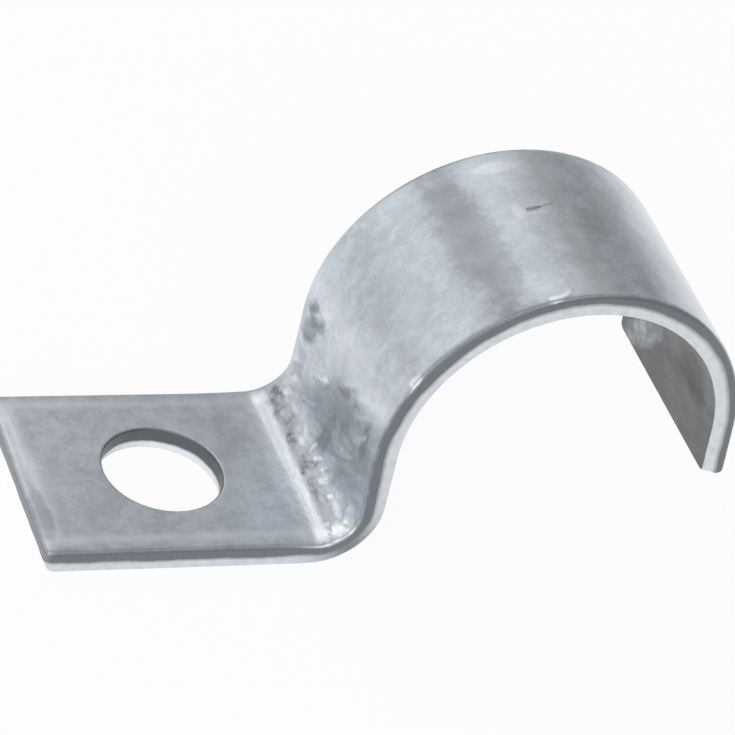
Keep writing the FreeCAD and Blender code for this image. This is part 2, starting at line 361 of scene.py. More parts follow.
# Noises of the finish: grains to a millimetre, detail, roughness
CLOUDS = (0.28, 2, 0.5)
MOTTLE = (0.9, 3, 0.6)
SPECKLE = (3.2, 2, 0.6)
CRUMBS = (1.6, 3, 0.6)
PIT_GRAIN = (1.1, 3, 0.6)
DRAG_GRAIN = (1.4, 5, 0.68)
INNER_CLOUDS = (0.8, 3, 0.6)
SHEAR_LINES = (2.4, 2, 0.6)
PAPER_GRAIN = 900.0

# Spots of the finish, in millimetres: place along and across, lean, half length, half width.
# A lean is how far a spot moves along for each millimetre across. Stains have their strength
# first.
SPOT_EDGE = (0.25, 1.3)
STAINS_AND_SHADE = (
    (0.47, (30.3, 0.3, -0.06, 1.8, 8.5)),
    (0.28, (24.7, -0.5, 0, 2.7, 8.0)),
    # Painted shade beyond the crest
    (0.33, (39.6, 0, 0, 1.9, 8.5)),
)
DULL_CORNER = (-9.1, -3.8, 0, 0.7, 2.6)
TARNISH_SPOTS = ((19.9, 5.6, -0.5, 1.1, 1.3), (18.7, 5.1, 0, 0.7, 1.6))
# Painted highlight along the free end of the foot
END_RIM_SHEEN = (-9.1, 3.2, 0, 0.45, 3.6)
# Painted highlight near the far edge of the arch
PAINTED_GLINT = (33.7, 5.8, 0, 1.8, 0.6)
SCUFF_RIMS = ((33.6, 1.3, 0, 0.35, 0.8), (34.8, 0.95, 0, 0.7, 0.18))
SCUFF_HEAD = (34.6, 1.4, 0, 0.5, 0.19)
SCUFF_TAIL = (35.5, 1.62, 0.7, 0.1)
SCUFF_TAIL_CLIMB = 0.3
# Painted shade low inside the leg
LEG_SHADE = (51.2, -3.7, 0, 2.2, 2.4)
# Painted reflection of the bright floor high inside the leg
PAINTED_REFLECTION_INSIDE = (51.55, 4.2, 0.75, 1.4, 2.8)

# Bright bands across the strap, painted highlights for light reflected by the neck, the crest
# and
# the side of the leg: strength, and the places along it where each starts, is full, fades and
# ends
PAINTED_SHEEN_BANDS = ((0.28, (18.2, 19.6, 20.4, 22)), (0.42, (34, 35.4, 36.4, 37.8)))
LEG_SHEEN_BAND = (40.5, 46, 50, 57)

# Square of the distance from the hole's centre where the colours of the hole end
HOLE_EDGE = (16.5, 19)

# Darkest and lightest tone of each colour, as shares of it
ZINC_TONES = (0.83, 1.13)
INNER_TONES = (0.82, 1.2)
# Tone of the painted shade low inside the leg
LEG_SHADE_TONE = 0.3
BURNISH_TONES = (0.92, 1.1)
TORN_TONES = (0.88, 1)
PAPER_TONES = (0.985, 1)
PAPER_GLOW = 0.93

# Heights of the finish's fine bumps, in millimetres
MOTTLE_HEIGHT = 0.006
SPECKLE_HEIGHT = 0.003
TORN_HEIGHT = 0.02
HOLLOW_DEPTH = 0.02
DRAGGED_HEIGHT = 0.045


class Ripple:
    """Smooth noise from -1 to 1 over two lengths, the same each run."""

    TABLE_SIDE = 128

    def __init__(self, seed):
        draw = np.random.default_rng(seed)
        self.table = draw.uniform(-1, 1, (self.TABLE_SIDE, self.TABLE_SIDE))

    def __call__(self, along, across, size, stretch=1):
        a = np.asarray(along, float) / (size * stretch)
        b = np.asarray(across, float) / size
        i = np.floor(a).astype(int)
        j = np.floor(b).astype(int)
        u = a - i
        v = b - j
        u = u * u * (3 - 2 * u)
        v = v * v * (3 - 2 * v)

        def corner(right, up):
            return self.table[(i + right) % self.TABLE_SIDE, (j + up) % self.TABLE_SIDE]

        low = corner(0, 0) * (1 - u) + corner(1, 0) * u
        high = corner(0, 1) * (1 - u) + corner(1, 1) * u
        return low * (1 - v) + high * v


def rise(value, low, high):
    """Smooth step from 0 at low to 1 at high."""
    share = np.clip((value - low) / (high - low), 0, 1)
    return share * share * (3 - 2 * share)


def zone(value, edges):
    """1 inside a zone, down to 0 over its two soft edges."""
    start, end = edges
    return rise(value, *start) * (1 - rise(value, *end))


def hump(value, centre, reach):
    """Bell from 1 at the centre to almost nothing beyond its reach."""
    return np.exp(-((value - centre) / reach) ** 2)


def spread(first, last, step):
    """Evenly spaced values from first to last, about a step apart, without the first."""
    count = max(1, round((last - first) / step))
    return np.linspace(first, last, count + 1)[1:]


def edge_rows():
    """Distances from an edge of the rows that follow its rolled section."""
    turn = ROLL_RADIUS * (1 - np.cos(np.linspace(0, math.pi / 2, TURN_ROWS)))
    return np.concatenate([turn, np.linspace(ROLL_RADIUS, ROLL_WIDTH, FLAT_ROWS)[1:]])


def burnish_share(s):
    """Share of the cut edge that is burnished."""
    places, shares = zip(*BURNISH_SHARES)
    return np.mean([np.interp(s + shift, places, shares) for shift in SHARE_SHIFTS], axis=0)


def rolled_drop(distance, width, lean, radius):
    """How far the outer face falls at a distance from its sheared edge."""
    slope = np.clip(1 - distance / width, 0, 1)
    turn = np.clip(1 - distance / radius, 0, 1)
    return lean * slope ** ROLL_FALLOFF + radius * (1 - np.sqrt(1 - turn ** 2))


class Fold:
    """Carries places on the blank to the folded strip, along its middle fibre."""

    def __init__(self, sizes):
        stock = sizes.stock / MM
        bend = sizes.bend_radius / MM + stock / 2
        arch = sizes.seat_radius / MM + stock / 2
        neck = math.pi / 2 + sizes.neck_lean
        leg = math.pi / 2 - sizes.leg_flare
        bend_top = bend * (1 - math.cos(neck))
        neck_rise = sizes.seat_height / MM - bend_top + arch * math.cos(neck)
        neck_run = neck_rise / math.sin(neck)
        reach = bend * math.sin(neck) + neck_run * math.cos(neck) + arch * math.sin(neck)

        self.start = -sizes.hole_to_end / MM
        self.bend_start = sizes.seat_run / MM - reach
        self.neck_start = self.bend_start + bend * neck
        self.arch_start = self.neck_start + neck_run
        self.leg_start = self.arch_start + arch * (neck + leg)
        self.end = self.leg_start + sizes.leg_length / MM
        self.bend_middle = (self.bend_start + self.neck_start) / 2

        count = round((self.end - self.start) / FIBRE_STEP)
        self.s = np.linspace(self.start, self.end, count + 1)
        step = self.s[1] - self.s[0]
        middle = (self.s[1:] + self.s[:-1]) / 2
        curl = np.where((middle > self.bend_start) & (middle < self.neck_start), 1 / bend, 0)
        curl = curl - np.where(
            (middle > self.arch_start) & (middle < self.leg_start), 1 / arch, 0)
        blend = np.ones(round(BEND_BLEND / step))
        curl = np.convolve(curl, blend / blend.sum(), mode="same")
        heading = np.concatenate([[0], np.cumsum(curl) * step])
        halfway = (heading[1:] + heading[:-1]) / 2
        self.heading = heading
        self.x = self.start + np.concatenate([[0], np.cumsum(np.cos(halfway)) * step])
        self.z = np.concatenate([[0], np.cumsum(np.sin(halfway)) * step])

    def place(self, s, y, n):
        """Points of the folded strip."""
        heading = np.interp(s, self.s, self.heading)
        x = np.interp(s, self.s, self.x) - n * np.sin(heading)
        z = np.interp(s, self.s, self.z) + n * np.cos(heading)
        return np.stack([x, y, z], axis=-1)


class Net:
    """Flat net of the blank: its points, four-sided faces, outline and hole."""

    def __init__(self, fold, half_width, hole_radius):
        self.fold = fold
        self.half_width = half_width
        self.hole_radius = hole_radius
        rows = self.rows_along()
        columns = self.rows_across()
        self.lay_grid(rows, columns)
        self.lay_ring()
        self.round_corners()

    def rows_along(self):
        edge = edge_rows()
        first = self.fold.start + edge
        last = self.fold.end - edge[::-1]
        return np.concatenate([
            first,
            spread(first[-1], -HOLE_WINDOW, FOOT_STEP),
            spread(-HOLE_WINDOW, HOLE_WINDOW, FOOT_STEP),
            spread(HOLE_WINDOW, NECK_ZONE[0], FOOT_STEP),
            spread(*NECK_ZONE, NECK_STEP),
            spread(NECK_ZONE[1], last[0], ARCH_STEP)[:-1],
            last,
        ])

    def rows_across(self):
        first = -self.half_width + edge_rows()
        return np.concatenate([
            first,
            spread(first[-1], -HOLE_WINDOW, ACROSS_STEP),
            spread(-HOLE_WINDOW, HOLE_WINDOW, ACROSS_STEP),
            spread(HOLE_WINDOW, -first[-1], ACROSS_STEP)[:-1],
            -first[::-1],
        ])

    def lay_grid(self, rows, columns):
        """Grid over the whole blank but for a square window round the hole."""
        s, y = np.meshgrid(rows, columns, indexing="ij")
        near = 1e-6
        inside = (np.abs(s) < HOLE_WINDOW - near) & (np.abs(y) < HOLE_WINDOW - near)
        number = np.full(s.shape, -1)
        number[~inside] = np.arange((~inside).sum())
        self.s = s[~inside]
        self.y = y[~inside]

        mid_s = (rows[1:] + rows[:-1]) / 2
        mid_y = (columns[1:] + columns[:-1]) / 2
        open_cell = (np.abs(mid_s)[:, None] < HOLE_WINDOW) & (np.abs(mid_y)[None] < HOLE_WINDOW)
        i, j = np.nonzero(~open_cell)
        self.faces = [np.stack([number[i, j], number[i + 1, j],
                                number[i + 1, j + 1], number[i, j + 1]], axis=-1)]
        self.outline = self.walk(number, 0, len(rows) - 1, 0, len(columns) - 1)
        first_row, last_row = np.nonzero(np.abs(np.abs(rows) - HOLE_WINDOW) < near)[0]
        first_column, last_column = np.nonzero(np.abs(np.abs(columns) - HOLE_WINDOW) < near)[0]
        self.window = self.walk(number, first_row, last_row, first_column, last_column)

    @staticmethod
    def walk(number, low_i, high_i, low_j, high_j):
        """Numbers of the points round a rectangle of the grid, anticlockwise."""
        return np.concatenate([
            number[low_i:high_i, low_j],
            number[high_i, low_j:high_j],
            number[high_i:low_i:-1, high_j],
            number[low_i, high_j:low_j:-1],
        ])

    def lay_ring(self):
        """Rings from the round hole out to the square window."""
        far_s = self.s[self.window]
        far_y = self.y[self.window]
        far = np.hypot(far_s, far_y)
        edge = edge_rows()
        rings = [self.hole_radius + distance + 0 * far for distance in edge]
        for share in np.linspace(0, 1, RING_ROWS + 1)[1:-1]:
            rings.append(rings[len(edge) - 1] * (1 - share) + far * share)

        first = len(self.s)
        count = len(self.window)
        loops = []
        for order, ring in enumerate(rings):
            self.s = np.concatenate([self.s, far_s / far * ring])
            self.y = np.concatenate([self.y, far_y / far * ring])
            loops.append(first + order * count + np.arange(count))
        loops.append(self.window)
        for inner, outer in zip(loops, loops[1:]):
            self.faces.append(np.stack([inner, outer, np.roll(outer, -1),
                                        np.roll(inner, -1)], axis=-1))
        self.mouth = loops[0]
        self.faces = np.concatenate(self.faces)

    def round_corners(self):
        """Draw the grid's corner points in to the round corners of the blank."""
        middle = (self.fold.start + self.fold.end) / 2
        half_length = (self.fold.end - self.fold.start) / 2
        out_s = np.abs(self.s - middle) - (half_length - CORNER_RADIUS)
        out_y = np.abs(self.y) - (self.half_width - CORNER_RADIUS)
        corner = (out_s > 0) & (out_y > 0)
        scale = np.ones_like(out_s)
        scale[corner] = (np.maximum(out_s, out_y) / np.hypot(out_s, out_y))[corner]
        shift = scale - 1
        self.s = self.s + np.where(corner, np.sign(self.s - middle) * out_s * shift, 0)
        self.y = self.y + np.where(corner, np.sign(self.y) * out_y * shift, 0)

        out_s = np.abs(self.s - middle) - (half_length - CORNER_RADIUS)
        out_y = np.abs(self.y) - (self.half_width - CORNER_RADIUS)
        beyond = np.hypot(np.maximum(out_s, 0), np.maximum(out_y, 0))
        within = np.minimum(np.maximum(out_s, out_y), 0)
        self.from_edge = np.maximum(CORNER_RADIUS - beyond - within, 0)
        self.from_hole = np.maximum(np.hypot(self.s, self.y) - self.hole_radius, 0)

    def torn_shift(self):
        """Full inset of the torn band at each point, along and across the blank."""
        to_end = np.minimum(self.s - self.fold.start, self.fold.end - self.s)
        to_side = self.half_width - np.abs(self.y)
        middle = (self.fold.start + self.fold.end) / 2
        along = -np.sign(self.s - middle) * END_INSET * (1 - rise(to_end, 0, INSET_REACH))
        across = -np.sign(self.y) * SIDE_INSET * (1 - rise(to_side, 0, INSET_REACH))
        radius = np.maximum(np.hypot(self.s, self.y), self.hole_radius)
        ring = HOLE_INSET * (1 - rise(self.from_hole, 0, INSET_REACH / 2))
        return along + self.s / radius * ring, across + self.y / radius * ring


def marked(marks, s, y, ragged):
    """How strongly soft-edged oval marks cover each point."""
    cover = 0 * s
    for along, across, long, wide, turn, strength in marks:
        turned = math.radians(turn)
        off_s = s - along
        off_y = y - across
        a = (off_s * math.cos(turned) + off_y * math.sin(turned)) / long
        b = (off_y * math.cos(turned) - off_s * math.sin(turned)) / wide
        cover = np.maximum(cover, strength * (1 - rise(a * a + b * b + ragged, *MARK_EDGE)))
    return cover


def along_drag(s, y):
    """Places along and across the way that the tool dragged."""
    return DRAG[0] * s + DRAG[1] * y, DRAG[0] * y - DRAG[1] * s


def askew(s, y):
    """Places turned a little against the grid, so that lumps don't line up with it."""
    return 0.8 * s + 0.6 * y, 0.8 * y - 0.6 * s


def neck_wear(s, y):
    """Galled and scraped shares of the outer face, where the tool dragged up the neck. The
    scraped share also carries painted sheen before the bend and painted glints on the arch's
    near rim.
    """
    wave, crumb = (Ripple(seed) for seed in WEAR_SEEDS)
    along, across = along_drag(s, y)
    drag = wave(along, across, 0.55, 4) + 0.6 * crumb(along, across, 0.3, 5)
    bent_s = s + 0.22 * wave(s, y, 0.9) + 0.12 * crumb(s, y, 0.4)
    bent_y = y + 0.22 * wave(y + 31, s, 0.9) + 0.12 * crumb(y + 17, s, 0.4)
    ragged = 0.5 * drag + 0.35 * crumb(s + 7, y, 0.35)

    patch_end = PATCH_TOP - PATCH_SLOPE * np.clip(y + 2, 0, 9) ** 2
    torn_s = s + 0.7 * crumb(s + 3, y, 0.8) + 0.4 * wave(y, s, 1.7) - 0.6 * rise(-y, 1, 3)
    patch = rise(torn_s, *PATCH_START)
    patch = patch * (1 - rise(bent_s - patch_end + 0.5 * drag, -0.9, 0.8))
    patch = patch * rise(bent_y, *PATCH_SIDE) * (0.52 + 0.4 * drag)
    dulled = 0.5 * zone(bent_s, DULLED_EDGES)
    galled = np.maximum(patch, marked(GALLED_MARKS, bent_s, bent_y, ragged))
    galled = np.maximum(galled, dulled)

    start, end = RIDGE_EDGES
    ridge = rise(s, *start) * (1 - rise(bent_s, *end)) * zone(y, RIDGE_SIDES)
    ridge = ridge * (0.6 + 0.4 * rise(-y, -2, 1))
    # Painted sheen on the foot before the bend
    approach_sheen = 0.8 * zone(s, APPROACH_SHEEN_EDGES) * (1 - 0.3 * rise(s, 8.0, 8.6))
    approach_sheen = approach_sheen * (1 - 0.15 * rise(y, -1, 2)) * (1 - 0.6 * rise(y, 5.2, 6.4))
    streaks = zone(s, STREAKED_EDGES) * rise(drag, 0.1, 1.1)
    scraped = np.maximum(ridge, marked(SCRAPE_AND_GLINT_MARKS, bent_s, bent_y, ragged))
    scraped = np.maximum(scraped, approach_sheen + 0.45 * streaks)
    return galled * (1 - 0.7 * scraped), scraped


def pitted_zone(s, y):
    """Strip beside the ridge where the corner of the tool broke the zinc into pits."""
    return marked(PITTED_MARKS, s, y, Ripple(PIT_SEED)(*askew(s, y), 0.5))


def tool_marks(s, y):
    """Relief of the outer face: what the press tool crushed, scraped and bruised."""
    wave, fine, lumps = (Ripple(seed) for seed in RELIEF_SEEDS)
    ridge_line = RIDGE_LINE + RIDGE_WANDER * wave(y, 0 * y, 2.4)
    ridge = RIDGE_HEIGHT * hump(s, ridge_line, RIDGE_REACH)
    groove = GROOVE_DEPTH * hump(s, ridge_line + GROOVE_OFFSET, GROOVE_REACH)
    pits = PIT_DEPTH * pitted_zone(s, y) * rise(lumps(*askew(s, y), 0.5), -0.1, 0.6)
    crushed = lumps(s + 9, y, 0.5, 1.3) + 0.5 * fine(s, y, 0.3)
    crushed = CRUSHED_HEIGHT * zone(s, CRUSHED_EDGES) * crushed
    drags = fine(*along_drag(s, y), 0.5, 4) + 1.3 * lumps(*along_drag(s, y), 1.1, 3)
    drags = DRAG_HEIGHT * zone(s, DRAGGED_EDGES) * drags
    waves = sum(height * ripple(s, y, size)
                for ripple, (height, size) in zip((wave, fine), FACE_WAVES))
    bruise = BRUISE_DEPTH * hump(s, 34.6, 1.1) * hump(y, 1.5, 0.8)
    scrape = SCRAPE_DEPTH * hump(y + 3 - 0.35 * (s - 39.6), 0, 0.16) * hump(s, 39.6, 1.5)
    galled, scraped = neck_wear(s, y)
    worked = SCRAPED_HEIGHT * scraped * rise(s, 9.3, 10) - GALLED_DEPTH * galled
    return ridge - groove - pits + crushed + drags + worked + waves - bruise - scrape


class Skin:
    """Points of the strap's surface on the blank, with their finishes, and its faces."""

    # The first finish paints a highlight band in from the edges, the second also paints shade on
    # the rolled rims, and the sixth also carries painted sheen and glints
    FINISHES = ("polished", "cut", "torn", "inner", "galled", "scraped", "pitted")

    def __init__(self):
        self.count = 0
        self.places = []
        self.finishes = {name: [] for name in self.FINISHES}
        self.faces = []

    def add(self, s, y, n, **finishes):
        """Add points, and return their numbers."""
        numbers = self.count + np.arange(len(s))
        self.count += len(s)
        self.places.append(np.stack([s, y, n + 0 * s], axis=-1))
        for name in self.FINISHES:
            self.finishes[name].append(finishes.get(name, 0) + 0 * s)
        return numbers

    def join(self, upper, lower):
        """Faces between two closed loops of points."""
        self.faces.append(np.stack([upper, lower, np.roll(lower, -1),
                                    np.roll(upper, -1)], axis=-1))


def cut_wall(skin, net, numbers, side, top, under, share, stock, ripples, pale):
    """Sheared wall between the outer and inner faces: a burnished band above a torn one.

    The side is 1 where the loop of points runs round the metal, and -1 where it runs round
    the hole.
    """
    s = net.s[numbers]
    y = net.y[numbers]
    ahead_s = np.roll(s, -1) - np.roll(s, 1)
    ahead_y = np.roll(y, -1) - np.roll(y, 1)
    length = np.hypot(ahead_s, ahead_y)
    out_s = side * ahead_y / length
    out_y = -side * ahead_s / length
    walked = np.cumsum(np.hypot(s - np.roll(s, 1), y - np.roll(y, 1)))
    wave, fine = ripples
    shift_s, shift_y = (part[numbers] for part in net.torn_shift())

    upper_n = skin_height(skin, top[numbers])
    lower_n = skin_height(skin, under[numbers])
    border = stock * (0.5 - share)
    for ripple, (height, size) in zip(ripples, BORDER_WAVES):
        border = border + height * ripple(walked, 0 * walked, size)
    pale = pale * (1 - BEND_DULLING * hump(s, *BEND_DULL_PLACE))
    last = top[numbers]
    for part in BURNISH_ROWS:
        n = upper_n * (1 - part) + (border + BORDER_GAP) * part
        row = skin.add(s, y, n, cut=1)
        skin.join(last, row)
        last = row
    for part in TORN_ROWS:
        n = (border - BORDER_GAP) * (1 - part) + lower_n * part
        inset = TORN_FIRST_INSET + (1 - TORN_FIRST_INSET) * part
        deep = n * TORN_SQUEEZE
        rough = fine(walked, deep, TORN_GRAIN) + 0.7 * wave(walked, deep, TORN_LUMPS)
        rough = TORN_ROUGHNESS * rough * math.sin(math.pi * min(part + 0.1, 1))
        row = skin.add(s + shift_s * inset + out_s * rough, y + shift_y * inset + out_y * rough,
                       n, cut=1, torn=pale * (0.3 + 0.7 * rise(part, 0, 0.35)))
        skin.join(last, row)
        last = row
    skin.join(last, under[numbers])


def skin_height(skin, numbers):
    """Height of points that are already in the skin."""
    return np.concatenate(skin.places)[numbers, 2]


def lay_skin(sizes, fold):
    """Whole surface of the strap on the flat blank."""
    stock = sizes.stock / MM
    net = Net(fold, sizes.width / MM / 2, sizes.hole_radius / MM)
    skin = Skin()

    drop = rolled_drop(net.from_edge, ROLL_WIDTH, ROLL_LEAN, ROLL_RADIUS)
    drop = drop + rolled_drop(net.from_hole, MOUTH_WIDTH, MOUTH_LEAN, MOUTH_RADIUS)
    nearest = np.minimum(net.from_edge, net.from_hole)
    relief = tool_marks(net.s, net.y) * rise(nearest, *RELIEF_FADE)
    # Painted highlight: a light band in from the edges
    polished = hump(net.from_edge, EDGE_SHEEN_LINE, EDGE_SHEEN_REACH)
    galled, scraped = neck_wear(net.s, net.y)
    # Painted shade: the rolled rims of the edges and the hole take the dark burnished colour
    wider_shade = sum(reach * hump(net.s, *place) for reach, *place in WIDE_ROLL_SHADES)
    painted_roll_shade = (1 - rise(net.from_edge - wider_shade, *ROLL_SHADE_REACH)) * (1 - 0.8 * scraped)
    painted_roll_shade = np.maximum(painted_roll_shade, 1 - rise(net.from_edge, *RIM_SHADE_FADE))
    painted_roll_shade = np.maximum(painted_roll_shade, 1 - rise(net.from_hole, RIM_SHADE_FADE[0], MOUTH_RADIUS))
    top = skin.add(net.s, net.y, stock / 2 - drop + relief, polished=polished, cut=painted_roll_shade,
                   galled=galled, scraped=scraped, pitted=pitted_zone(net.s, net.y))

    shift_s, shift_y = net.torn_shift()
    burr = rolled_drop(nearest, BURR_RADIUS, 0, BURR_RADIUS)
    soft = UNDERSIDE_WAVE * (1 + Ripple(UNDERSIDE_SEED)(net.s, net.y, UNDERSIDE_WAVE_SIZE))
    soft = soft * rise(nearest, *RELIEF_FADE)
    under = skin.add(net.s + shift_s, net.y + shift_y, burr - stock / 2 + soft, inner=1,
                     torn=TORN_PALE * (1 - rise(nearest, *BURR_FADE)))

    skin.faces.append(top[net.faces])
    skin.faces.append(under[net.faces])
    ripples = [Ripple(seed) for seed in WALL_SEEDS]
    for numbers, side, share, pale in (
            (net.outline, 1, burnish_share(net.s[net.outline]), TORN_PALE),
            (net.mouth, -1, HOLE_BURNISH_SHARE, HOLE_TORN_PALE)):
        cut_wall(skin, net, numbers, side, top, under, share, stock, ripples, pale)
    return skin


def swell_bend(places, sizes, fold):
    """Swell the crushed inside of the bend sideways, and draw in its stretched outside."""
    half_width = sizes.width / MM / 2
    across = places[:, 1] / half_width
    through = BULGE_AT_MIDDLE + BULGE_THROUGH * places[:, 2] / (sizes.stock / MM)
    swell = sizes.bulge / MM * hump(places[:, 0], fold.bend_middle, BULGE_REACH)
    return places[:, 1] + across ** 3 * swell * through


def strap_mesh(sizes):
    """Folded strap as one closed mesh, with its blank places and finishes on the points."""
    fold = Fold(sizes)
    skin = lay_skin(sizes, fold)
    places = np.concatenate(skin.places)
    swollen = swell_bend(places, sizes, fold)
    points = fold.place(places[:, 0], swollen, places[:, 2]) * MM

    mesh = bpy.data.meshes.new("strap_mesh")
    mesh.from_pydata(points.tolist(), [], np.concatenate(skin.faces).tolist())
    blank = mesh.attributes.new("blank", "FLOAT_VECTOR", "POINT")
    blank.data.foreach_set("vector", places.astype(np.float32).ravel())
    for name, parts in skin.finishes.items():
        finish = mesh.attributes.new(name, "FLOAT", "POINT")
        finish.data.foreach_set("value", np.concatenate(parts).astype(np.float32))

    work = bmesh.new()
    work.from_mesh(mesh)
    bmesh.ops.recalc_face_normals(work, faces=work.faces)
    work.to_mesh(mesh)
    work.free()
    mesh.shade_smooth()
    return mesh


class Wire:
    """An output of a node that takes part in plain arithmetic."""

    def __init__(self, board, socket):
        self.board = board
        self.socket = socket

    def reckon(self, operation, first, second):
        return self.board.node("ShaderNodeMath", {"operation": operation},
                               {0: first, 1: second})

    def __add__(self, other):
        return self.reckon("ADD", self, other)

    __radd__ = __add__

    def __sub__(self, other):
        return self.reckon("SUBTRACT", self, other)

    def __rsub__(self, other):
        return self.reckon("SUBTRACT", other, self)

    def __mul__(self, other):
        return self.reckon("MULTIPLY", self, other)

    __rmul__ = __mul__


class Board:
    """A node tree being wired."""

    def __init__(self, tree):
        self.tree = tree
        tree.nodes.clear()

    def node(self, kind, settings=None, inputs=None, output=0):
        """Add a node, with its settings made first, and return one of its outputs."""
        made = self.tree.nodes.new(kind)
        for name, value in (settings or {}).items():
            setattr(made, name, value)
        for key, value in (inputs or {}).items():
            if isinstance(value, Wire):
                self.tree.links.new(value.socket, made.inputs[key])
            else:
                made.inputs[key].default_value = value
        return Wire(self, made.outputs[output]) if made.outputs else made

    def rise(self, value, low, high):
        """Smooth step from 0 at low to 1 at high."""
        return self.node("ShaderNodeMapRange", {"interpolation_type": "SMOOTHSTEP"},
                         {"Value": value, "From Min": low, "From Max": high})

    def band(self, value, start, full, fading, end):
        """1 between full and fading, down to 0 at start and end."""
        return self.rise(value, start, full) * (1 - self.rise(value, fading, end))

    def spot(self, along, across, long, wide, ragged):
        """Soft-edged oval patch: its half lengths, and a noise that makes it ragged."""
        far = along * along * (1 / long ** 2) + across * across * (1 / wide ** 2)
        return 1 - self.rise(far + ragged, *SPOT_EDGE)

    def grain(self, place, scale, detail=2.0, roughness=0.5, stretch=(1, 1, 1)):
        """Noise from 0 to 1 over the blank, with so many grains to a millimetre."""
        laid = self.node("ShaderNodeMapping", {}, {"Vector": place, "Scale": stretch})
        return self.node("ShaderNodeTexNoise", {"noise_dimensions": "3D"}, {
            "Vector": laid, "Scale": scale, "Detail": detail, "Roughness": roughness})

    def blend(self, share, first, second):
        """Colour from first to second."""
        colours = {}
        for key, colour in ((6, first), (7, second)):
            colours[key] = colour if isinstance(colour, Wire) else (*colour, 1)
        return self.node("ShaderNodeMix", {"data_type": "RGBA"}, {0: share, **colours}, 2)

    def tones(self, share, colour, ends):
        """Colour between its darkest and its lightest tone."""
        return self.blend(share, *(tuple(end * part for part in colour) for end in ends))

    def attribute(self, name, output):
        return self.node("ShaderNodeAttribute", {"attribute_name": name}, {}, output)

    def seen(self):
        """1 for what the camera sees, straight or by way of metal or glass."""
        outputs = ("Is Camera Ray", "Is Glossy Ray", "Is Transmission Ray")
        camera, glossy, through = (
            self.node("ShaderNodeLightPath", {}, {}, output) for output in outputs)
        return camera + glossy + through


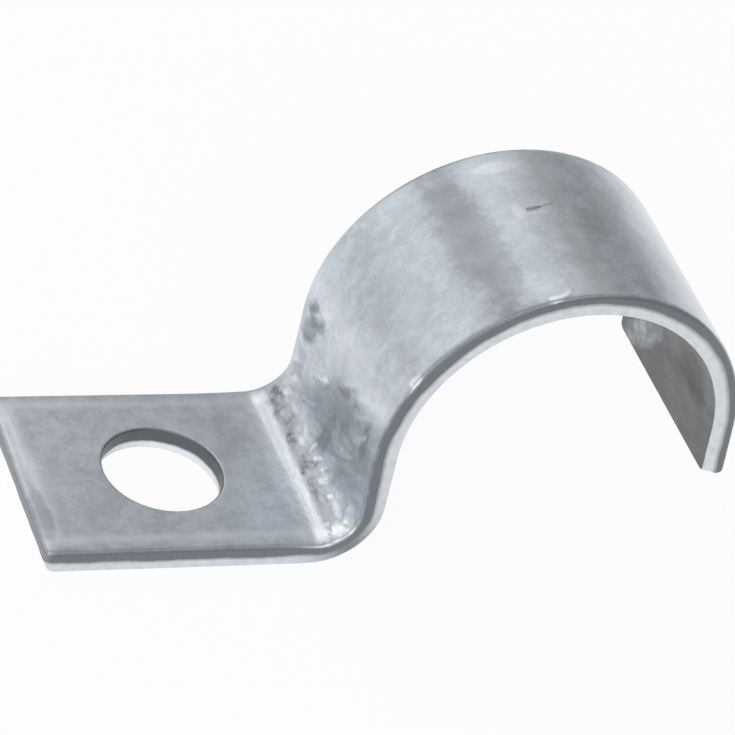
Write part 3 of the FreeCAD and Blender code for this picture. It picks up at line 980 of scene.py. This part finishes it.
class ZincCoat:
    """Colours of the galvanised strap, reckoned from places and finishes on the blank."""

    def __init__(self, board, finish):
        self.board = board
        self.finish = finish
        self.place = board.attribute("blank", "Vector")
        self.s, self.y = (board.node("ShaderNodeSeparateXYZ", {}, {0: self.place}, axis)
                          for axis in ("X", "Y"))
        for name in Skin.FINISHES:
            setattr(self, name, board.attribute(name, "Fac"))
        self.outer = 1 - self.inner
        self.mottle = board.grain(self.place, *MOTTLE)
        self.speckle = board.grain(self.place, *SPECKLE)
        self.crumbs = board.grain(self.place, *CRUMBS)
        along, across = along_drag(self.s, self.y)
        streaks = board.node("ShaderNodeCombineXYZ", {}, {0: 0.25 * along, 1: across, 2: 0.3})
        self.drag = board.grain(streaks, *DRAG_GRAIN)
        self.ragged = 1.3 * (self.mottle - 0.5) + 1.0 * (self.crumbs - 0.5)

    def spot(self, mark, ragged):
        """Soft-edged oval patch of the blank."""
        along, across, lean, long, wide = mark
        off_s = self.s - along
        if lean:
            off_s = off_s - lean * self.y
        return self.board.spot(off_s, self.y - across, long, wide, ragged)

    def outer_face(self):
        """Satin zinc with its stains, tool marks, pits and scuff, painted shade beyond the
        crest, and painted highlights, sheen and glints.
        """
        board, finish, outer, ragged = self.board, self.finish, self.outer, self.ragged
        clouds = board.grain(self.place, *CLOUDS)
        tone = 0.5 + 0.7 * (clouds - 0.5) + 0.9 * (self.mottle - 0.5)
        tone = tone + 0.6 * (self.speckle - 0.5)
        colour = board.tones(board.rise(tone, 0.15, 0.85), finish.zinc, ZINC_TONES)

        dull_corner = self.spot(DULL_CORNER, 0.5 * ragged) * outer
        stains_and_shade = 0.4 * dull_corner
        # One of the stains is painted shade beyond the crest
        for strength, mark in STAINS_AND_SHADE:
            stains_and_shade = stains_and_shade + strength * self.spot(mark, ragged) * outer
        colour = board.blend(stains_and_shade, colour, finish.stain_and_shade)
        streaky = 0.8 * ragged + 1.5 * (self.drag - 0.5)
        tarnish = self.spot(TARNISH_SPOTS[0], streaky) + self.spot(TARNISH_SPOTS[1], streaky)
        tarnish = tarnish * (0.5 + 0.5 * board.rise(self.drag, 0.35, 0.6)) * outer
        colour = board.blend(tarnish, colour, finish.tarnish)
        dark = self.galled * (1.7 * self.drag + 0.7 * self.crumbs - 0.2)
        colour = board.blend(dark, colour, finish.galled)

        # Painted highlights: the band in from the edges, the foot's end, bands across the strap,
        # the leg's side and a spot near the far edge
        painted_sheen = self.polished * (0.58 - 0.5 * board.rise(self.s, 9, 12)) * (1 - dull_corner)
        painted_sheen = painted_sheen + 0.42 * self.spot(END_RIM_SHEEN, 0.4 * ragged)
        for strength, places in PAINTED_SHEEN_BANDS:
            painted_sheen = painted_sheen + strength * board.band(self.s, *places) * outer
        leg_sheen = board.band(self.s, *LEG_SHEEN_BAND) * outer
        self.wear_and_sheen = painted_sheen + 0.75 * leg_sheen + 0.4 * self.spot(PAINTED_GLINT, 1.2 * ragged)
        # Scraped zinc, with painted sheen before the bend and painted glints on the arch's rim
        self.wear_and_sheen = self.wear_and_sheen + self.scraped * (0.45 + 1.0 * self.crumbs)
        colour = board.blend(board.rise(self.wear_and_sheen, 0, 1.15), colour, finish.wear_and_sheen)

        broken = board.rise(board.grain(self.place, *PIT_GRAIN), 0.42, 0.58)
        pits = self.pitted * (0.3 + 0.7 * broken)
        colour = board.blend(0.85 * pits, colour, finish.broken)
        flecks = 2.4 * (self.speckle - 0.5)
        scuff_rims = self.spot(SCUFF_RIMS[0], flecks) + self.spot(SCUFF_RIMS[1], flecks)
        along, across, long, wide = SCUFF_TAIL
        climb = SCUFF_TAIL_CLIMB * (self.s - along)
        tail = board.spot(self.s - along, self.y - across - climb, long, wide, flecks)
        scuff = self.spot(SCUFF_HEAD, flecks) + 0.6 * tail
        colour = board.blend(0.45 * scuff_rims * outer, colour, finish.wear_and_sheen)
        colour = board.blend(0.62 * scuff * outer, colour, finish.broken)
        self.hollows = pits + scuff
        return colour

    def inner_face(self):
        """Inner face: duller zinc darkened as painted shade, with more painted shade low inside
        the leg and a painted reflection higher up inside it.
        """
        board, inner = self.board, self.finish.inner
        # Duller zinc darkened further as painted shade under the arch
        clouds = board.grain(self.place, *INNER_CLOUDS, (1.2, 0.6, 1))
        colour = board.tones(board.rise(clouds, 0.2, 0.8), inner, INNER_TONES)
        # Painted shade low inside the leg
        leg_shade = 0.6 * self.spot(LEG_SHADE, 1.5 * (clouds - 0.5))
        colour = board.blend(leg_shade, colour, tuple(LEG_SHADE_TONE * part for part in inner))
        # Painted reflection high inside the leg
        painted_sheen = self.spot(PAINTED_REFLECTION_INSIDE, 1.2 * self.ragged)
        painted_sheen = painted_sheen * (0.15 + 0.5 * board.rise(self.mottle, 0.3, 0.7))
        return board.blend(painted_sheen, colour, self.finish.zinc)

    def with_edges(self, colour):
        """Colour with the burnished and torn bands of the cut edges over it, painted shade on
        the rolled rims, and painted shade and light in the hole.
        """
        board, finish = self.board, self.finish
        in_hole = 1 - board.rise(self.s * self.s + self.y * self.y, *HOLE_EDGE)
        shear_lines = board.grain(self.place, *SHEAR_LINES, (1, 1, 0.15))
        burnish = board.tones(shear_lines, finish.burnish, BURNISH_TONES)
        # Painted shade: the burnished band is darker inside the hole
        burnish = board.blend(1 - 0.3 * in_hole, (0, 0, 0), burnish)
        end_light = 0.16 * (1 - board.rise(self.s, -9.7, -9.2))
        burnish = board.blend(end_light, burnish, finish.wear_and_sheen)
        torn = board.tones(board.rise(self.crumbs, 0.3, 0.7), finish.torn, TORN_TONES)
        # Painted light: the torn band in the hole is lighter
        torn = board.blend(0.7 * in_hole, torn, finish.hole_torn_lit)
        # The burnished colour over the cut walls, and as painted shade over the rolled rims
        return board.blend(self.torn, board.blend(self.cut, colour, burnish), torn)


def zinc_material(finish):
    """Galvanised steel: satin zinc, tool marks on the neck, and sheared edges."""
    material = bpy.data.materials.new("galvanised_steel")
    material.use_nodes = True
    board = Board(material.node_tree)
    coat = ZincCoat(board, finish)
    colour = board.blend(coat.inner, coat.outer_face(), coat.inner_face())
    colour = coat.with_edges(colour)

    roughness = 0.39 + 0.14 * (coat.mottle - 0.5) - 0.08 * coat.wear_and_sheen
    roughness = roughness + 0.2 * coat.torn + 0.06 * coat.cut
    height = MOTTLE_HEIGHT * coat.mottle + SPECKLE_HEIGHT * coat.speckle
    height = height + TORN_HEIGHT * coat.torn * coat.crumbs - HOLLOW_DEPTH * coat.hollows
    height = height + DRAGGED_HEIGHT * (coat.galled + coat.scraped) * coat.drag
    normal = board.node("ShaderNodeBump", {}, {
        "Strength": 1.0, "Distance": MM, "Height": height}, "Normal")
    metal = board.node("ShaderNodeBsdfPrincipled", {}, {
        "Base Color": colour, "Roughness": roughness, "Metallic": 1 - 0.6 * coat.torn,
        "Normal": normal})
    board.node("ShaderNodeOutputMaterial", {}, {"Surface": metal})
    return material


def floor_material(colour):
    """White paper that keeps the strap's shadow, and shows white to camera and metal."""
    material = bpy.data.materials.new("paper_floor")
    material.use_nodes = True
    board = Board(material.node_tree)
    seen = board.seen()
    tooth = board.grain(board.node("ShaderNodeTexCoord", {}, {}, "Object"), PAPER_GRAIN)
    tint = board.tones(tooth, colour, PAPER_TONES)
    paper = board.node("ShaderNodeBsdfDiffuse", {}, {"Color": tint})
    white = board.node("ShaderNodeEmission", {}, {"Color": (1, 1, 1, 1), "Strength": 1.0})
    surface = board.node("ShaderNodeMixShader", {}, {0: PAPER_GLOW * seen, 1: paper, 2: white})
    board.node("ShaderNodeOutputMaterial", {}, {"Surface": surface})
    return material


def room_world(strength):
    """Even pale room."""
    world = bpy.data.worlds.new("white_room")
    world.use_nodes = True
    board = Board(world.node_tree)
    room = board.node("ShaderNodeBackground", {}, {
        "Color": (1, 1, 1, 1), "Strength": strength})
    board.node("ShaderNodeOutputWorld", {}, {"Surface": room})
    return world


def hang_softbox(name, direction, distance, width, height, brightness):
    """Soft lamp that faces the strap from a direction, at a brightness where 1 is white."""
    lamp = bpy.data.lights.new(name, "AREA")
    lamp.shape = "RECTANGLE"
    lamp.size = width
    lamp.size_y = height
    lamp.energy = brightness * math.pi * width * height
    holder = bpy.data.objects.new(name, lamp)
    bpy.context.scene.collection.objects.link(holder)
    aim = Vector(direction).normalized()
    holder.location = STRAP_MIDDLE + aim * distance
    holder.rotation_euler = aim.to_track_quat("Z", "Y").to_euler()


class STRAP_OT_fold_strip(bpy.types.Operator):
    """Fold the strap from its blank and give it its galvanised finish"""

    bl_idname = "strap.fold_strip"
    bl_label = "Fold the strip"

    def execute(self, context):
        scene = context.scene
        strap = bpy.data.objects.new("folded_strap", strap_mesh(scene.strap_sizes))
        scene.collection.objects.link(strap)
        strap.data.materials.append(zinc_material(scene.zinc_finish))
        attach(strap, STRAP_BODY)
        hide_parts(STRAP_NODE)
        return {"FINISHED"}


class STRAP_OT_lay_studio(bpy.types.Operator):
    """Lay the paper floor, hang the lamps and set the camera"""

    bl_idname = "strap.lay_studio"
    bl_label = "Lay the studio"

    def execute(self, context):
        scene = context.scene
        setup = scene.studio_setup
        self.lay_floor(scene, setup)
        scene.world = room_world(setup.sky_strength)
        for name, *place, light in SOFTBOXES:
            hang_softbox(name, *place, getattr(setup, light))
        self.set_camera(scene, setup)
        scene.view_settings.view_transform = "Standard"
        return {"FINISHED"}

    @staticmethod
    def lay_floor(scene, setup):
        mesh = bpy.data.meshes.new("paper_mesh")
        work = bmesh.new()
        bmesh.ops.create_grid(work, x_segments=FLOOR_SQUARES, y_segments=FLOOR_SQUARES,
                              size=FLOOR_HALF_SIDE)
        bmesh.ops.translate(work, verts=work.verts, vec=(0, 0, strap_low.z))
        work.to_mesh(mesh)
        work.free()
        floor = bpy.data.objects.new("paper_floor", mesh)
        scene.collection.objects.link(floor)
        mesh.materials.append(floor_material(setup.floor_colour))

    @staticmethod
    def set_camera(scene, setup):
        camera = bpy.data.cameras.new("camera")
        camera.lens = setup.lens
        camera.sensor_width = SENSOR_WIDTH
        camera.clip_start = NEAREST_SEEN
        camera.clip_end = FURTHEST_SEEN
        stand = bpy.data.objects.new("camera", camera)
        scene.collection.objects.link(stand)
        stand.location = setup.camera_place
        stand.rotation_mode = "YXZ"
        stand.rotation_euler = Euler(setup.camera_turn, "YXZ")
        scene.camera = stand


class VIEW3D_PT_conduit_strap(bpy.types.Panel):
    """Sizes, finish and studio of the conduit strap"""

    bl_label = "Conduit strap"
    bl_space_type = "VIEW_3D"
    bl_region_type = "UI"
    bl_category = "Strap"

    def draw(self, context):
        scene = context.scene
        for group in (scene.strap_sizes, scene.zinc_finish, scene.studio_setup):
            box = self.layout.box()
            for name in group.__annotations__:
                box.prop(group, name)
        for operator in OPERATORS:
            self.layout.operator(operator.bl_idname)


OPERATORS = (STRAP_OT_fold_strip, STRAP_OT_lay_studio)
GROUPS = (
    ("strap_sizes", StrapSizes),
    ("zinc_finish", ZincFinish),
    ("studio_setup", StudioSetup),
)


def register():
    for name, group in GROUPS:
        bpy.utils.register_class(group)
        setattr(bpy.types.Scene, name, bpy.props.PointerProperty(type=group))
    for operator in OPERATORS:
        bpy.utils.register_class(operator)
    bpy.utils.register_class(VIEW3D_PT_conduit_strap)


def unregister():
    bpy.utils.unregister_class(VIEW3D_PT_conduit_strap)
    for operator in reversed(OPERATORS):
        bpy.utils.unregister_class(operator)
    for name, group in reversed(GROUPS):
        delattr(bpy.types.Scene, name)
        bpy.utils.unregister_class(group)


def main():
    register()
    bpy.ops.strap.fold_strip()
    bpy.ops.strap.lay_studio()


if __name__ == "__main__":
    main()
